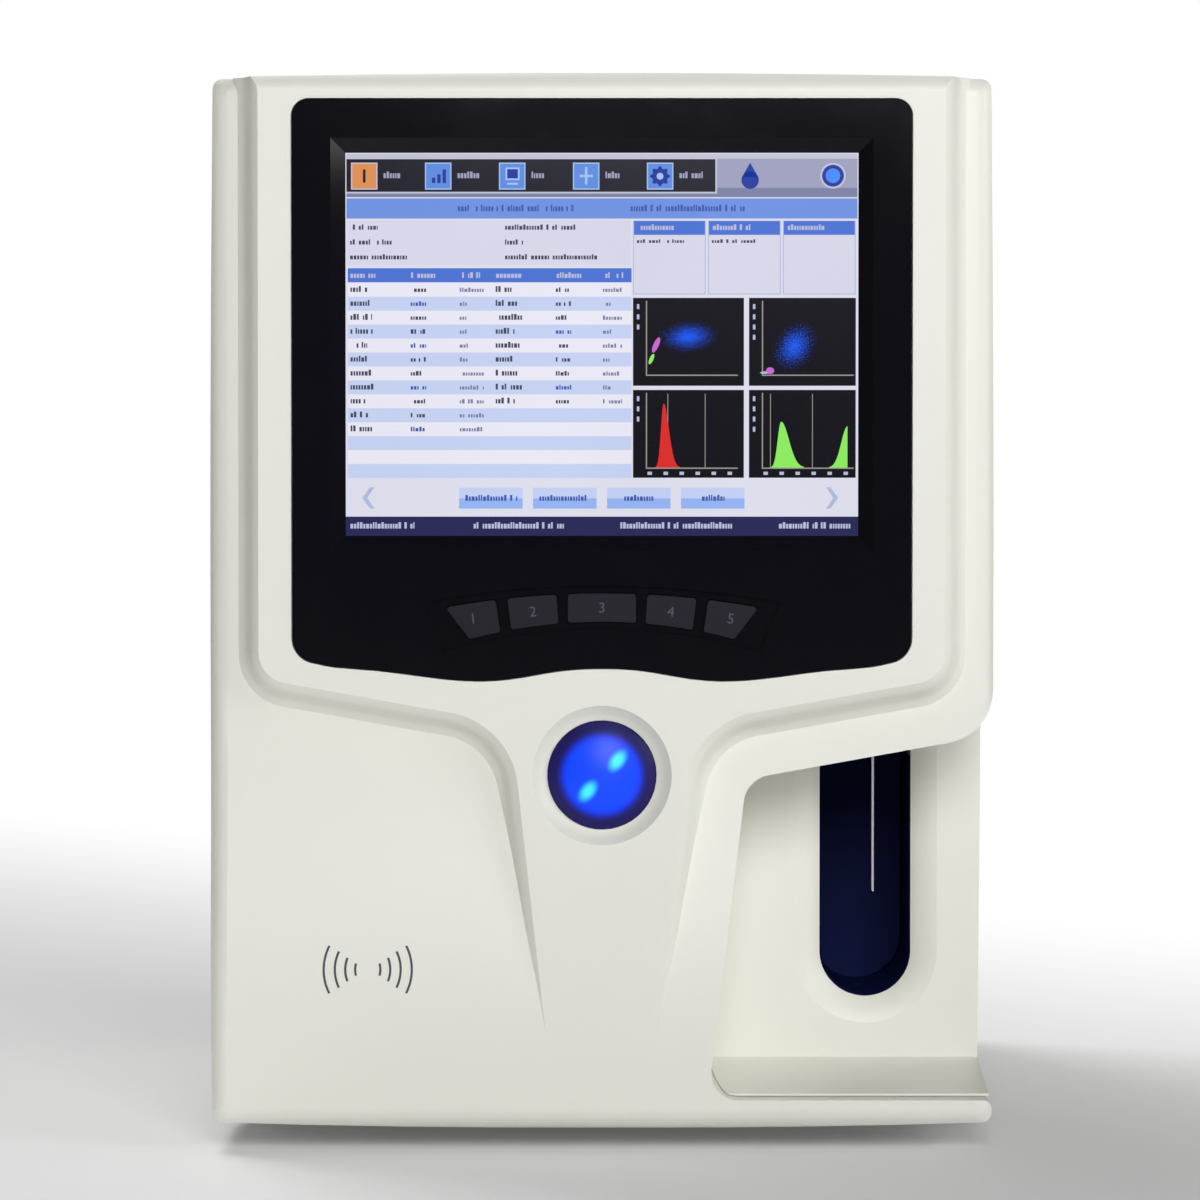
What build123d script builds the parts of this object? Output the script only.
from build123d import *
import math
import os

# Bench-top blood cell counter. Millimetres, +Z up, front towards -Y.
# The origin is at the middle of the bounding box, on the surface that the feet rest on.

# Case: sizes that can each be set by themselves
foot_height = 16.0
foot_radius = 14.0
cover_height = 436.0
cover_half_width = 161.0
cover_side_crown = 1.5
cover_top_crown = 2.0
cover_bottom_crown = 3.0
cover_depth = 92.0
cover_wall = 3.0
case_corner_radius = 4.0
front_roll = 9.0
top_roll_radius = 8.0
side_roll = 8.0
side_roll_reach = 0.4
body_depth = 428.0
port_reach = 20.0
panel_gap = 0.4
panel_step = 2.5
sheet = 1.5

# Raised T-shaped face of the front cover, given at the middle of its soft edge
recess_depth = 12.0
recess_full_height = 165.0
recess_start_height = 34.0
soft_edge = 9.0
head_margin = 15.0
head_half_width = cover_half_width - head_margin
head_corner_height = 182.2
head_corner_radius = 17.5
neck_half_width = 42.0
neck_height = 163.6
neck_radius = 29.0
column_foot_height = 20.0

# Sample bay, set out from the middle of its slot
slot_inset = 48.1
slot_x = cover_half_width - slot_inset
bay_reach = 53.0
bay_lean = 16.2
bay_inner_x = slot_x - bay_reach
bay_inner_height = 144.4
bay_foot_x = bay_inner_x - bay_lean
column_half_width = bay_foot_x * 0.5835
lip_height = 12.3
bay_roof_slope = 10.2
bay_inner_radius = 12.5
bay_foot_radius = 11.0
bay_shoulder_radius = 23.0
bay_depth = 84.0
shelf_back_height = 21.0
liner_wall = 3.0
liner_fit = 0.3

# Slot in the bay's back wall and the needle in it
slot_radius = 19.5
slot_centre_height = 66.0
dish_radius = 30.5
dish_depth = 6.0
shroud_depth = 84.0
shroud_wall = 2.0
needle_x = slot_x + 3.6
needle_radius = 0.8
needle_bore = 0.4
needle_tip_height = 91.0
needle_setback = 96.0

# Display
bezel_side_margin = 18.5
bezel_half_width = head_half_width - bezel_side_margin
bezel_top_margin = 11.1
bezel_top = cover_height - bezel_top_margin
bezel_top_radius = 7.0
bezel_shoulder = 203.4
bezel_thickness = 4.5
bezel_pocket = 4.0
bezel_fit = 0.4
bezel_bottom = 186.0
seat_lap = 10.5
screen_margin = 21.9
screen_half_width = bezel_half_width - screen_margin
screen_bottom = 245.4
screen_top = bezel_top - screen_margin
screen_bevel = 6.0
glass_thickness = 1.8
lcd_depth = 9.0
lcd_margin = 6.0

# Keys
key_band_half_width = 70.0
key_top_middle = 221.7
key_top_drop = 6.9
key_bottom_middle = 210.0
key_bottom_drop = 9.3
key_recess_margin = 3.2
key_recess_depth = 1.2
key_clearance = 0.35
key_height = 9.0
key_flange = 1.0
key_travel = 1.0

# Contactless card reader
card_inset = 64.3
card_x = card_inset - cover_half_width
card_height = 66.3
card_board_width = 60.0
card_board_tall = 44.0
card_post_inset = 4.0

# Start button
start_height = 146.6
start_radius = 22.1
start_dish_radius = 28.8
start_dish_depth = 4.0
start_dome = 5.0
start_rim_rise = 1.0
start_clearance = 0.5
start_travel = 2.5
start_length = 13.0
start_wall = 1.8
start_flange = 2.2
start_boss_depth = 8.0
button_floor = 2.0
button_spare = 1.0

# Structure behind the front cover
deck_height = 7.0
deck_sheet = 2.0
frame_wall_x = slot_x - 46.9
frame_setback = 8.0
frame_side_gap = 6.0
shelf_height = 235.0
frame_top_height = cover_height - 31.0

# Sampler
sampler_travel = 50.0
carriage_width = 36.0
carriage_setback = 24.0
rail_length = carriage_width + sampler_travel + 14.0
lift_travel_up = 60.0
lift_travel_down = 25.0
lift_x = slot_x - 7.9
lift_head_rise = 50.0
lift_motor_height = 24.0
lift_motor_width = 28.0
lift_plate = 29.0
lift_arm = 4.0
guide_radius = 3.0
guide_spacing = 22.0
probe_height = 200.0
probe_tall = 24.0
rail_height = probe_height + probe_tall + lift_travel_up + 16.0
guide_low_height = probe_height - lift_travel_down - 15.0
belt_rise = 36.0
screw_radius = 3.0
pulley_radius = 6.0
pulley_pin = 2.5
pulley_rim = 1.6
belt_thickness = 1.2
belt_width = 6.0
running_fit = 0.05
loose_fit = 0.3

# Syringe unit
barrel_radius = 8.0
barrel_length = 62.0
barrel_cap = 10.0
plunger_radius = 5.0
plunger_spacing = 44.0
plunger_travel = 45.0
syringe_reach = 28.0
syringe_half_width = 34.0
syringe_head_height = 160.0
syringe_nut = 10.0
syringe_arm = 6.0
syringe_low_height = syringe_head_height - syringe_nut - plunger_travel - 15.0
syringe_middle_height = syringe_head_height + 50.0
syringe_high_height = syringe_middle_height + syringe_arm + barrel_length + barrel_cap
stepper_size = 40.0

# Units on the base plate and on the shelf
unit_side_gap = 6.5
supply_width = 90.0
supply_tall = 52.0
supply_rear_gap = 60.0
waste_radius = 34.0
waste_tall = 130.0
waste_setback = 62.0
waste_supply_gap = 30.0
manifold_tall = 112.0
manifold_setback = 70.0
bath_tall = 62.0
bath_wall = 2.5
pump_radius = 30.0
pump_rear_gap = 64.0
syringe_pump_gap = 82.0
roller_radius = 6.0
roller_orbit = 15.0
board_pillar = 12.0
board_sheet = 1.6

# Rear panel
panel_half_width = cover_half_width - panel_step
fan_x = 70.5 - panel_half_width
fan_height = cover_height - 106.0
fan_size = 80.0
fan_depth = 25.0
inlet_x = 48.5 - panel_half_width
inlet_height = 64.0
rocker_x = inlet_x + 48.0
fuse_travel = 16.0
rocker_throw = 16.0
port_radius = 4.0
port_height = 64.0
port_count = 5
port_first_x = rocker_x + 44.0
port_last_x = panel_half_width - 64.5
port_pitch = (port_last_x - port_first_x) / (port_count - 1)
port_bore = 2.2
port_lead = 0.8
data_x = port_first_x + 18.0
data_height = 120.0
screw_shank = 1.4

# Derived planes and fits
case_lift = foot_height - deck_height
button_reach = start_dome + start_rim_rise - start_dish_depth
front_y = button_reach - (button_reach + body_depth + port_reach) / 2
rear_y = front_y + body_depth
cover_rear_y = front_y + cover_depth
card_board_y = front_y + 9.0
bay_wall_y = front_y + bay_depth
start_rim_y = front_y + start_dish_depth - start_rim_rise
button_floor_y = start_rim_y + start_length + start_travel + button_spare
bezel_rear_y = front_y + bezel_pocket
seat_rear_y = bezel_rear_y + 2.5
key_front_y = front_y - 0.1
needle_y = front_y + needle_setback
panel_top_z = case_lift + cover_height - cover_top_crown - panel_step


def z_of(height):
    """Height above the cover's lowest point, as a height above the table."""
    return case_lift + height


def front_plane(y):
    """Drawing plane that faces the front: its x is X, its y is Z."""
    return Plane(origin=(0, y, 0), x_dir=(1, 0, 0), z_dir=(0, -1, 0))


def into(sketch, y, depth):
    """Extrude a front-facing sketch backwards from y."""
    return extrude(front_plane(y) * sketch, amount=-depth)


def block(x, y, z):
    """Block between two x, two y and two z values."""
    centre = Pos((x[0] + x[1]) / 2, (y[0] + y[1]) / 2, (z[0] + z[1]) / 2)
    return centre * Box(x[1] - x[0], y[1] - y[0], z[1] - z[0])


def rod(start, end, radius):
    """Round bar between two points."""
    axis = Vector(*end) - Vector(*start)
    plane = Plane(origin=start, z_dir=axis)
    return extrude(plane * Circle(radius), amount=axis.length)


def tube(start, end, outer, inner):
    """Round pipe between two points."""
    axis = Vector(*end) - Vector(*start)
    plane = Plane(origin=start, z_dir=axis)
    return extrude(plane * (Circle(outer) - Circle(inner)), amount=axis.length)


def near(vertices, x, z):
    """The vertex of a front-facing sketch that lies nearest to (x, z)."""
    return min(vertices, key=lambda v: (v.X - x) ** 2 + (v.Y - z) ** 2)


def save(shape, name):
    """Write one piece to its own file."""
    solids = shape.solids()
    joined = solids[0] if len(solids) == 1 else Compound(children=list(solids))
    export_step(joined, "parts/" + name + ".step")


def case_outline(inset=0.0):
    """Slightly crowned outline of the front cover."""
    side = cover_half_width - inset
    crown = side + cover_side_crown
    low = z_of(inset)
    high = z_of(cover_height - inset)
    low_corner = low + cover_bottom_crown
    high_corner = high - cover_top_crown
    middle = (low + high) / 2
    edges = [
        ThreePointArc((-side, low_corner), (0, low), (side, low_corner)),
        ThreePointArc((side, low_corner), (crown, middle), (side, high_corner)),
        ThreePointArc((side, high_corner), (0, high), (-side, high_corner)),
        ThreePointArc((-side, high_corner), (-crown, middle), (-side, low_corner)),
    ]
    return make_face(Curve() + edges)


def bay_roof_height(x):
    """Height of the bay's sloping roof line at x."""
    return bay_inner_height + (x - bay_inner_x) * math.tan(math.radians(bay_roof_slope))


def bay_opening(inset=0.0):
    """Outline of the bay: open to the right, shrunk by inset on its three walls."""
    far = cover_half_width + 40
    lean = math.atan2(bay_inner_x - bay_foot_x, bay_inner_height - lip_height)
    step = inset / math.cos(lean)
    drop = inset / math.cos(math.radians(bay_roof_slope))
    tan_lean = math.tan(lean)
    tan_roof = math.tan(math.radians(bay_roof_slope))
    low = z_of(lip_height + inset)
    foot_x = bay_foot_x + step + inset * tan_lean
    rise = (bay_inner_height - drop - lip_height - inset + (foot_x - bay_inner_x) * tan_roof)
    rise = rise / (1 - tan_lean * tan_roof)
    inner_x = foot_x + rise * tan_lean
    points = [
        (foot_x, low),
        (far, low),
        (far, z_of(bay_roof_height(far) - drop)),
        (inner_x, low + rise),
    ]
    face = make_face(Polyline(*points, close=True))
    foot = near(face.vertices(), foot_x, low)
    face = fillet(foot, max(bay_foot_radius - inset, 1.0))
    inner = near(face.vertices(), inner_x, low + rise)
    return fillet(inner, max(bay_inner_radius - inset, 1.0))


def notched_outline(inset=0.0):
    """Cover outline with the bay taken out and every corner rounded, shrunk by inset."""
    corner = case_corner_radius - inset
    side = cover_half_width - inset
    low_z = z_of(cover_bottom_crown + inset)
    high_z = z_of(cover_height - cover_top_crown - inset)
    roof_z = z_of(bay_roof_height(side) + inset / math.cos(math.radians(bay_roof_slope)))
    face = case_outline(inset) - bay_opening(-inset)
    for x, z, radius in (
        (-side, low_z, corner),
        (side, low_z, corner),
        (-side, high_z, corner),
        (side, high_z, corner),
        (side, z_of(lip_height - inset), corner),
        (side, roof_z, bay_shoulder_radius - inset),
    ):
        face = fillet(near(face.vertices(), x, z), radius)
    return face


def rounded(corner, radius, first, last):
    """Quarter arc at a corner, from the side it comes in on to the side it leaves by."""
    turn = 1 - math.sqrt(0.5)
    middle = tuple(c + radius * turn * (f + n) for c, f, n in zip(corner, first, last))
    start = tuple(c + radius * f for c, f in zip(corner, first))
    end = tuple(c + radius * n for c, n in zip(corner, last))
    return ThreePointArc(start, middle, end)


def profile_face(shift):
    """Side-on face of the cover: rolled front edges and the long hollow below the head."""
    low = z_of(0)
    high = z_of(cover_height)
    start = z_of(recess_start_height)
    full = z_of(recess_full_height)
    reach = (full - start) * 0.42
    face_y = front_y + shift
    deep_y = face_y + recess_depth
    back = face_y + cover_depth + 20
    lines = [
        Line((face_y + front_roll, low - 5), (face_y + front_roll, low)),
        rounded((face_y, low), front_roll, (1, 0), (0, 1)),
        Line((face_y, low + front_roll), (face_y, start)),
        Bezier((face_y, start), (face_y, start + reach), (deep_y, full - reach), (deep_y, full)),
        Line((deep_y, full), (deep_y, high - front_roll)),
        rounded((deep_y, high), front_roll, (0, -1), (1, 0)),
        Line((deep_y + front_roll, high), (deep_y + front_roll, high + 5)),
        Line((deep_y + front_roll, high + 5), (back, high + 5)),
        Line((back, high + 5), (back, low - 5)),
        Line((back, low - 5), (face_y + front_roll, low - 5)),
    ]
    return make_face(Curve() + lines)


def side_on(x, face):
    """A side-on face placed at x, its x along Y and its y along Z."""
    return Plane(origin=(x, 0, 0), x_dir=(0, 1, 0), z_dir=(1, 0, 0)) * face


def front_profile(shift=0.0):
    """Side-on form of the cover across its width, rolled back towards both sides."""
    radius = side_roll - shift
    start = cover_half_width + cover_side_crown + side_roll_reach - side_roll
    body = extrude(side_on(-start, profile_face(shift)), amount=2 * start)
    turns = [math.radians(turn) for turn in (0, 22.5, 45, 67.5, 90)]
    for side in (-1, 1):
        sections = []
        for turn in turns:
            x = start + radius * math.sin(turn)
            face = profile_face(shift + radius * (1 - math.cos(turn)))
            sections.append(side_on(side * x, face))
        body = body + loft(sections)
    return body


def t_outline(grow):
    """Closed outline of the raised face, grown outwards from the middle of its soft edge."""
    high = z_of(cover_height) + 40
    head = head_half_width + grow
    head_z = z_of(head_corner_height - grow)
    neck = neck_half_width + grow
    neck_z = z_of(neck_height - grow)
    foot = column_half_width + grow
    foot_z = z_of(column_foot_height)
    points = [
        (head, high),
        (-head, high),
        (-head, head_z),
        (-neck, neck_z),
        (-foot, foot_z),
        (foot, foot_z),
        (neck, neck_z),
        (head, head_z),
    ]
    head_r = head_corner_radius + grow
    neck_r = neck_radius - grow
    radii = [5, 5, head_r, neck_r, 5, 5, neck_r, head_r]
    return make_face(FilletPolyline(*points, radius=radii, close=True))


def raised_face(shift=0.0, grow=0.0):
    """T-shaped raised face, lofted through outlines that follow an S-shaped edge."""
    half = soft_edge / 2
    steps = [
        (half, recess_depth + 6.0),
        (half, recess_depth),
        (half * 0.55, recess_depth * 0.86),
        (0.0, recess_depth * 0.5),
        (-half * 0.55, recess_depth * 0.14),
        (-half, 0.0),
    ]
    sections = [front_plane(front_y + shift + depth) * t_outline(out + grow) for out, depth in steps]
    return loft(sections)


def top_roll():
    """Prism that rounds the raised face over at the top of the case."""
    roll = top_roll_radius
    high = z_of(cover_height)
    low = z_of(0) - 10
    back = front_y + cover_depth + 30
    lines = [
        Line((front_y, low), (front_y, high - roll)),
        rounded((front_y, high), roll, (0, -1), (1, 0)),
        Line((front_y + roll, high), (back, high)),
        Line((back, high), (back, low)),
        Line((back, low), (front_y, low)),
    ]
    half = cover_half_width + 20
    return extrude(side_on(-half, make_face(Curve() + lines)), amount=2 * half)


def bezel_outline(grow=0.0):
    """Outline of the display bezel with its wavy lower edge, grown on every side."""
    side = bezel_half_width + grow
    high = z_of(bezel_top + grow)
    wave = [(-0.927, 193.1), (-0.746, 190.3), (-0.52, 186.7), (-0.364, 185.8), (-0.26, 187.2)]
    wave = wave + [(-0.1475, 189.7), (0, 190.9)]
    wave = wave + [(-share, h) for share, h in reversed(wave[:-1])]
    points = [(share * bezel_half_width, z_of(h - grow)) for share, h in wave]
    shoulder = z_of(bezel_shoulder)
    bend = (bezel_half_width - 2.9 + grow * 0.7, z_of(bezel_shoulder - 7.2 - grow * 0.7))
    edges = [
        Line((-side, high), (-side, shoulder)),
        ThreePointArc((-side, shoulder), (-bend[0], bend[1]), points[0]),
        Spline(points, tangents=[(1, -0.3), (1, 0.3)]),
        ThreePointArc(points[-1], bend, (side, shoulder)),
        Line((side, shoulder), (side, high)),
        Line((side, high), (-side, high)),
    ]
    face = make_face(Curve() + edges)
    for x in (-side, side):
        face = fillet(near(face.vertices(), x, high), bezel_top_radius + grow)
    return face


def seat_window():
    """Opening in the cover's seat that the screen and the keys reach through."""
    half = bezel_half_width - seat_lap
    low = z_of(bezel_bottom + seat_lap)
    high = z_of(bezel_top - seat_lap)
    return Pos(0, (low + high) / 2) * RectangleRounded(2 * half, high - low, 4.0)


def key_band(grow=0.0):
    """Arched band that the keys fill, grown on every side."""
    half = key_band_half_width + grow
    top = key_top_middle + grow
    bottom = key_bottom_middle - grow
    lines = [
        ThreePointArc(
            (-half, z_of(top - key_top_drop)), (0, z_of(top)), (half, z_of(top - key_top_drop))
        ),
        Line((half, z_of(top - key_top_drop)), (half - 8, z_of(bottom - key_bottom_drop))),
        ThreePointArc(
            (half - 8, z_of(bottom - key_bottom_drop)),
            (0, z_of(bottom)),
            (8 - half, z_of(bottom - key_bottom_drop)),
        ),
        Line((8 - half, z_of(bottom - key_bottom_drop)), (-half, z_of(top - key_top_drop))),
    ]
    return make_face(Curve() + lines)


def key_sides():
    """Side lines of the five keys: x at the top and at the bottom of each side."""
    inner = [(14.0, 14.0), (18.6, 17.7), (38.8, 37.3), (43.8, 41.9), (66.7, 56.9)]
    left = [((-inner[k + 1][0], -inner[k + 1][1]), (-inner[k][0], -inner[k][1])) for k in (3, 1)]
    middle = [((-inner[0][0], -inner[0][1]), inner[0])]
    right = [(inner[k], inner[k + 1]) for k in (1, 3)]
    return left + middle + right


def key_sketch(index, grow=0.0):
    """Outline of one key, grown on every side."""
    left, right = key_sides()[index]
    high_middle = key_top_middle - 3
    low_middle = key_bottom_middle - 4
    reach = 14.0

    def side_line(side, sign):
        slope = (side[0] - side[1]) / (high_middle - low_middle)
        top = side[0] + sign * grow + slope * reach
        bottom = side[1] + sign * grow - slope * reach
        return (top, z_of(high_middle + reach)), (bottom, z_of(low_middle - reach))

    top_left, low_left = side_line(left, -1)
    top_right, low_right = side_line(right, 1)
    quad = make_face(Polyline(top_left, top_right, low_right, low_left, close=True))
    face = key_band(grow) & quad
    return fillet(face.vertices(), 1.2)


def start_plane(y):
    """Front-facing plane centred on the start button."""
    return front_plane(y) * Pos(0, z_of(start_height))


def disc(y, depth, radius):
    """Disc centred on the start button's axis."""
    return extrude(start_plane(y) * Circle(radius), amount=-depth)


def start_dish():
    """Round tool that cuts the dish and the hole of the start button."""
    hole = start_radius + start_clearance
    lines = [
        Line((0, -5), (start_dish_radius, -5)),
        Line((start_dish_radius, -5), (start_dish_radius, 0)),
        Bezier(
            (start_dish_radius, 0),
            (start_dish_radius - 3.5, start_dish_depth * 0.9),
            (hole, start_dish_depth),
        ),
        Line((hole, start_dish_depth), (hole, 40)),
        Line((hole, 40), (0, 40)),
        Line((0, 40), (0, -5)),
    ]
    plane = Plane(origin=(0, front_y, z_of(start_height)), x_dir=(1, 0, 0), z_dir=(0, 0, 1))
    profile = plane * make_face(Curve() + lines)
    axis = Axis((0, front_y, z_of(start_height)), (0, 1, 0))
    return revolve(profile, axis)


def cover_posts():
    """Screw posts of the front cover and of the card reader's board."""
    posts = []
    deep_y = front_y + recess_depth + 1
    rear = cover_rear_y - 6
    for x in (13 - cover_half_width, cover_half_width - 13):
        for height in (bezel_shoulder + 6.6, bezel_top - 24.9):
            posts.append(rod((x, deep_y, z_of(height)), (x, rear, z_of(height)), 4.5))
    low = (21 - cover_half_width, front_y + 2.2, z_of(recess_start_height - 4))
    posts.append(rod(low, (low[0], rear, low[2]), 4.5))
    half = card_board_width / 2 - card_post_inset
    for x in (card_x - half, card_x + half):
        for dz in (card_post_inset - card_board_tall / 2, card_board_tall / 2 - card_post_inset):
            start = (x, front_y + 3.9 + dz * 0.06, z_of(card_height + dz))
            posts.append(rod(start, (x, card_board_y, start[2]), 3.0))
    return posts


def cover_outside():
    """Outer form of the front cover, with the raised face on it."""
    notched = into(notched_outline(), front_y - 1, cover_depth + 1)
    base = notched & front_profile()
    face = into(case_outline(), front_y - 1, cover_depth) & raised_face() & top_roll()
    return base + face


def cover_inside():
    """Hollow of the front cover, one wall inside its outer form."""
    wall = cover_wall
    sketch = notched_outline(wall)
    space = into(sketch, front_y, cover_depth + 5)
    face = space & raised_face(wall, -wall)
    return (space & front_profile(wall)) + face


def front_cover():
    """Moulded shell of the front, with the display seat, the button dish and the bay."""
    shell = cover_outside() - cover_inside()
    seat = into(bezel_outline(5.0), front_y + 1, seat_rear_y - front_y - 1)
    shell = shell + seat + disc(front_y + 0.5, start_boss_depth - 0.5, start_dish_radius + 3)
    for post in cover_posts():
        shell = shell + post
    shell = shell - into(bezel_outline(bezel_fit), front_y - 5, 5 + bezel_pocket)
    shell = shell - into(seat_window(), front_y - 5, 20)
    return shell - start_dish()


def slot_sketch(radius):
    """U-shaped outline of the slot, open at the top."""
    low = z_of(slot_centre_height)
    high = z_of(bay_roof_height(slot_x) + 20)
    lines = [
        Line((slot_x - radius, high), (slot_x - radius, low)),
        ThreePointArc((slot_x - radius, low), (slot_x, low - radius), (slot_x + radius, low)),
        Line((slot_x + radius, low), (slot_x + radius, high)),
        Line((slot_x + radius, high), (slot_x - radius, high)),
    ]
    return make_face(Curve() + lines)


def dish_cone(grow):
    """Dished funnel around the slot, from the wall's face to the back of the dish."""
    middle = slot_radius + (dish_radius - slot_radius) * 0.38
    steps = [
        (dish_radius, -0.01),
        (middle, dish_depth * 0.45),
        (slot_radius, dish_depth),
    ]
    return loft([front_plane(bay_wall_y + depth) * slot_sketch(radius + grow) for radius, depth in steps])


def liner_sketch():
    """Everything inside the case outline that the cover's cut-out leaves open."""
    open_area = case_outline(0.5) - notched_outline(-liner_fit)
    low = z_of(lip_height - 1)
    high = z_of(bay_roof_height(cover_half_width) + 40)
    left = bay_foot_x - 5
    right = cover_half_width + 5
    window = Pos((left + right) / 2, (low + high) / 2) * Rectangle(right - left, high - low)
    return open_area & window


def shelf_prism():
    """Side-on wedge of the shelf, rising to the back wall."""
    front = front_y + 13.0
    low = z_of(lip_height + liner_fit)
    back = bay_wall_y + 1
    points = [
        (front, low),
        (back, z_of(shelf_back_height) - 2.2),
        (back, z_of(shelf_back_height)),
        (front, low + 1.0),
    ]
    plane = Plane(origin=(0, 0, 0), x_dir=(0, 1, 0), z_dir=(1, 0, 0))
    return extrude(plane * make_face(Polyline(*points, close=True)), amount=cover_half_width + 5)


def bay_liner():
    """Back wall of the bay with its dished slot, the shelf and the return at the side."""
    sketch = liner_sketch()
    wall = into(sketch, bay_wall_y, liner_wall)
    shelf = shelf_prism() & into(sketch, front_y, bay_depth + 1)
    side = cover_half_width - 0.5
    strip = Pos(side, z_of(cover_height / 2)) * Rectangle(2 * liner_wall, cover_height)
    wall = wall + into(sketch & strip, bay_wall_y, cover_depth - bay_depth) + shelf
    funnel = dish_cone(liner_wall * 0.8) & into(sketch, bay_wall_y, dish_depth)
    return wall + funnel - dish_cone(0.0) - into(slot_sketch(slot_radius), bay_wall_y, 20)


def probe_shroud():
    """Dark channel behind the slot, closed at its back and open at the top."""
    start = bay_wall_y + dish_depth + liner_fit
    top = z_of(bay_roof_height(slot_x - dish_radius) - 1)
    inner = slot_sketch(slot_radius)
    outer = slot_sketch(slot_radius + shroud_wall)
    shell = into(outer, start, shroud_depth) - into(inner, start - 1, shroud_depth + 1 - shroud_wall)
    flange = into(slot_sketch(slot_radius + 6) - inner, start, 2.0)
    drain_y = start + shroud_depth * 0.6
    floor_z = z_of(slot_centre_height - slot_radius)
    drain = rod((slot_x, drain_y, floor_z - 14), (slot_x, drain_y, floor_z - 0.5), 4.0)
    bore = rod((slot_x, drain_y, floor_z - 15), (slot_x, drain_y, floor_z + 2), 2.5)
    far = start + shroud_depth + 5
    above = block((slot_x - 60, slot_x + 60), (start - 5, far), (top, top + 80))
    return shell + flange + drain - bore - above


def display_bezel():
    """Glossy bezel with the sloping edge of the screen and the keys' recess."""
    proud = bezel_thickness - bezel_pocket
    plate = into(bezel_outline(), front_y - proud, bezel_thickness)
    middle = (z_of(screen_bottom) + z_of(screen_top)) / 2
    tall = z_of(screen_top) - z_of(screen_bottom)
    wide = 2 * screen_half_width
    slope = 2 * screen_bevel
    sections = [
        front_plane(front_y - proud - 0.01) * Pos(0, middle) * Rectangle(wide + slope, tall + slope),
        front_plane(front_y + bezel_pocket + 0.01) * Pos(0, middle) * Rectangle(wide, tall),
    ]
    plate = plate - loft(sections, ruled=True)
    plate = plate - into(key_band(key_recess_margin), front_y - proud - 1, 1 + key_recess_depth)
    for index in range(5):
        plate = plate - into(key_sketch(index, key_clearance), front_y - 5, 20)
    return plate


def screen_plate(margin, y, depth):
    """Flat plate behind the screen opening."""
    middle = (z_of(screen_bottom) + z_of(screen_top)) / 2
    tall = z_of(screen_top) - z_of(screen_bottom) + 2 * margin
    wide = 2 * (screen_half_width + margin)
    return into(Pos(0, middle) * RectangleRounded(wide, tall, 1.0), y, depth)


def touch_screen():
    """Glass pane of the touch screen."""
    return screen_plate(lcd_margin, bezel_rear_y, glass_thickness)


def lcd_module():
    """Flat display panel with its metal rim and the driver board on its back."""
    start = bezel_rear_y + glass_thickness
    panel = screen_plate(lcd_margin - 1, start, lcd_depth)
    driver = screen_plate(-45, start + lcd_depth, 1.6)
    return panel + driver


def lcd_bracket():
    """Folded sheet frame that presses the display against the cover's seat."""
    start = bezel_rear_y + glass_thickness + lcd_depth
    margin = lcd_margin + 8
    frame = screen_plate(margin, start, sheet) - screen_plate(-30, start - 1, sheet + 2)
    rim = screen_plate(margin, seat_rear_y, start - seat_rear_y)
    rim = rim - screen_plate(margin - sheet, seat_rear_y - 1, start - seat_rear_y + 2)
    half = key_band_half_width - 10
    low = z_of(screen_bottom - 30)
    gap = block((-half, half), (seat_rear_y - 1, start), (low, z_of(screen_bottom)))
    return frame + rim - gap


def key(index):
    """One key with the flange that keeps it behind the bezel."""
    cap = into(key_sketch(index), key_front_y, key_height)
    return cap + into(key_sketch(index, key_flange), bezel_rear_y + 0.2, 1.2)


def key_board():
    """Board behind the keys, with one switch under each of them."""
    rear = key_front_y + key_height
    board_y = rear + key_travel + 2.6
    low = z_of(key_bottom_middle - key_bottom_drop - 4)
    high = z_of(key_top_middle + 5)
    half = key_band_half_width + 6
    board = block((-half, half), (board_y, board_y + board_sheet), (low, high))
    for index in range(5):
        centre = key_sketch(index).center()
        x = (centre.X - 3, centre.X + 3)
        z = (centre.Y - 3, centre.Y + 3)
        board = board + block(x, (board_y - 1.5, board_y + 0.2), z)
        knob = (centre.X, rear + key_travel + 0.1, centre.Y)
        board = board + rod(knob, (centre.X, board_y, centre.Y), 1.7)
    for x in (2 - half, half - 2):
        foot_z = (high - 6, high - 1)
        board = board + block((x - 2, x + 2), (bezel_rear_y, board_y + 0.2), foot_z)
    return board


def start_button():
    """Domed push button with a skirt and a retaining flange."""
    skirt = disc(start_rim_y, start_length, start_radius)
    inner = disc(start_rim_y + 2, start_length, start_radius - start_wall)
    ball = (start_radius ** 2 + start_dome ** 2) / (2 * start_dome)
    dome = Pos(0, start_rim_y - start_dome + ball, z_of(start_height)) * Sphere(ball)
    dome = dome & disc(start_rim_y - start_dome - 1, start_dome + 1.5, start_radius)
    flange_y = front_y + start_boss_depth + 0.3
    ring = disc(flange_y, 1.6, start_radius + start_flange)
    ring = ring - disc(flange_y - 1, 4, start_radius - 1)
    return dome + (skirt - inner) + ring


def button_housing():
    """Cup behind the start button, clamped to the back of the cover's boss."""
    start = front_y + start_boss_depth
    inner = start_radius + start_flange + 0.7
    cup = disc(start, button_floor_y + button_floor - start, inner + 2.5)
    return cup - disc(start - 1, button_floor_y - start + 1, inner)


def button_board():
    """Round board with the lamps and the switch of the start button."""
    board = disc(button_floor_y - board_sheet, board_sheet, start_radius - start_wall - 1.2)
    middle = z_of(start_height)
    orbit = start_radius * 0.6
    for step in range(6):
        turn = math.radians(60 * step)
        x = orbit * math.cos(turn)
        z = middle + orbit * math.sin(turn)
        lamp_y = (button_floor_y - 2.6, button_floor_y - 1)
        board = board + block((x - 1.6, x + 1.6), lamp_y, (z - 1.6, z + 1.6))
    return board + block((-3, 3), (button_floor_y - 3.4, button_floor_y - 1), (middle - 3, middle + 3))


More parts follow.
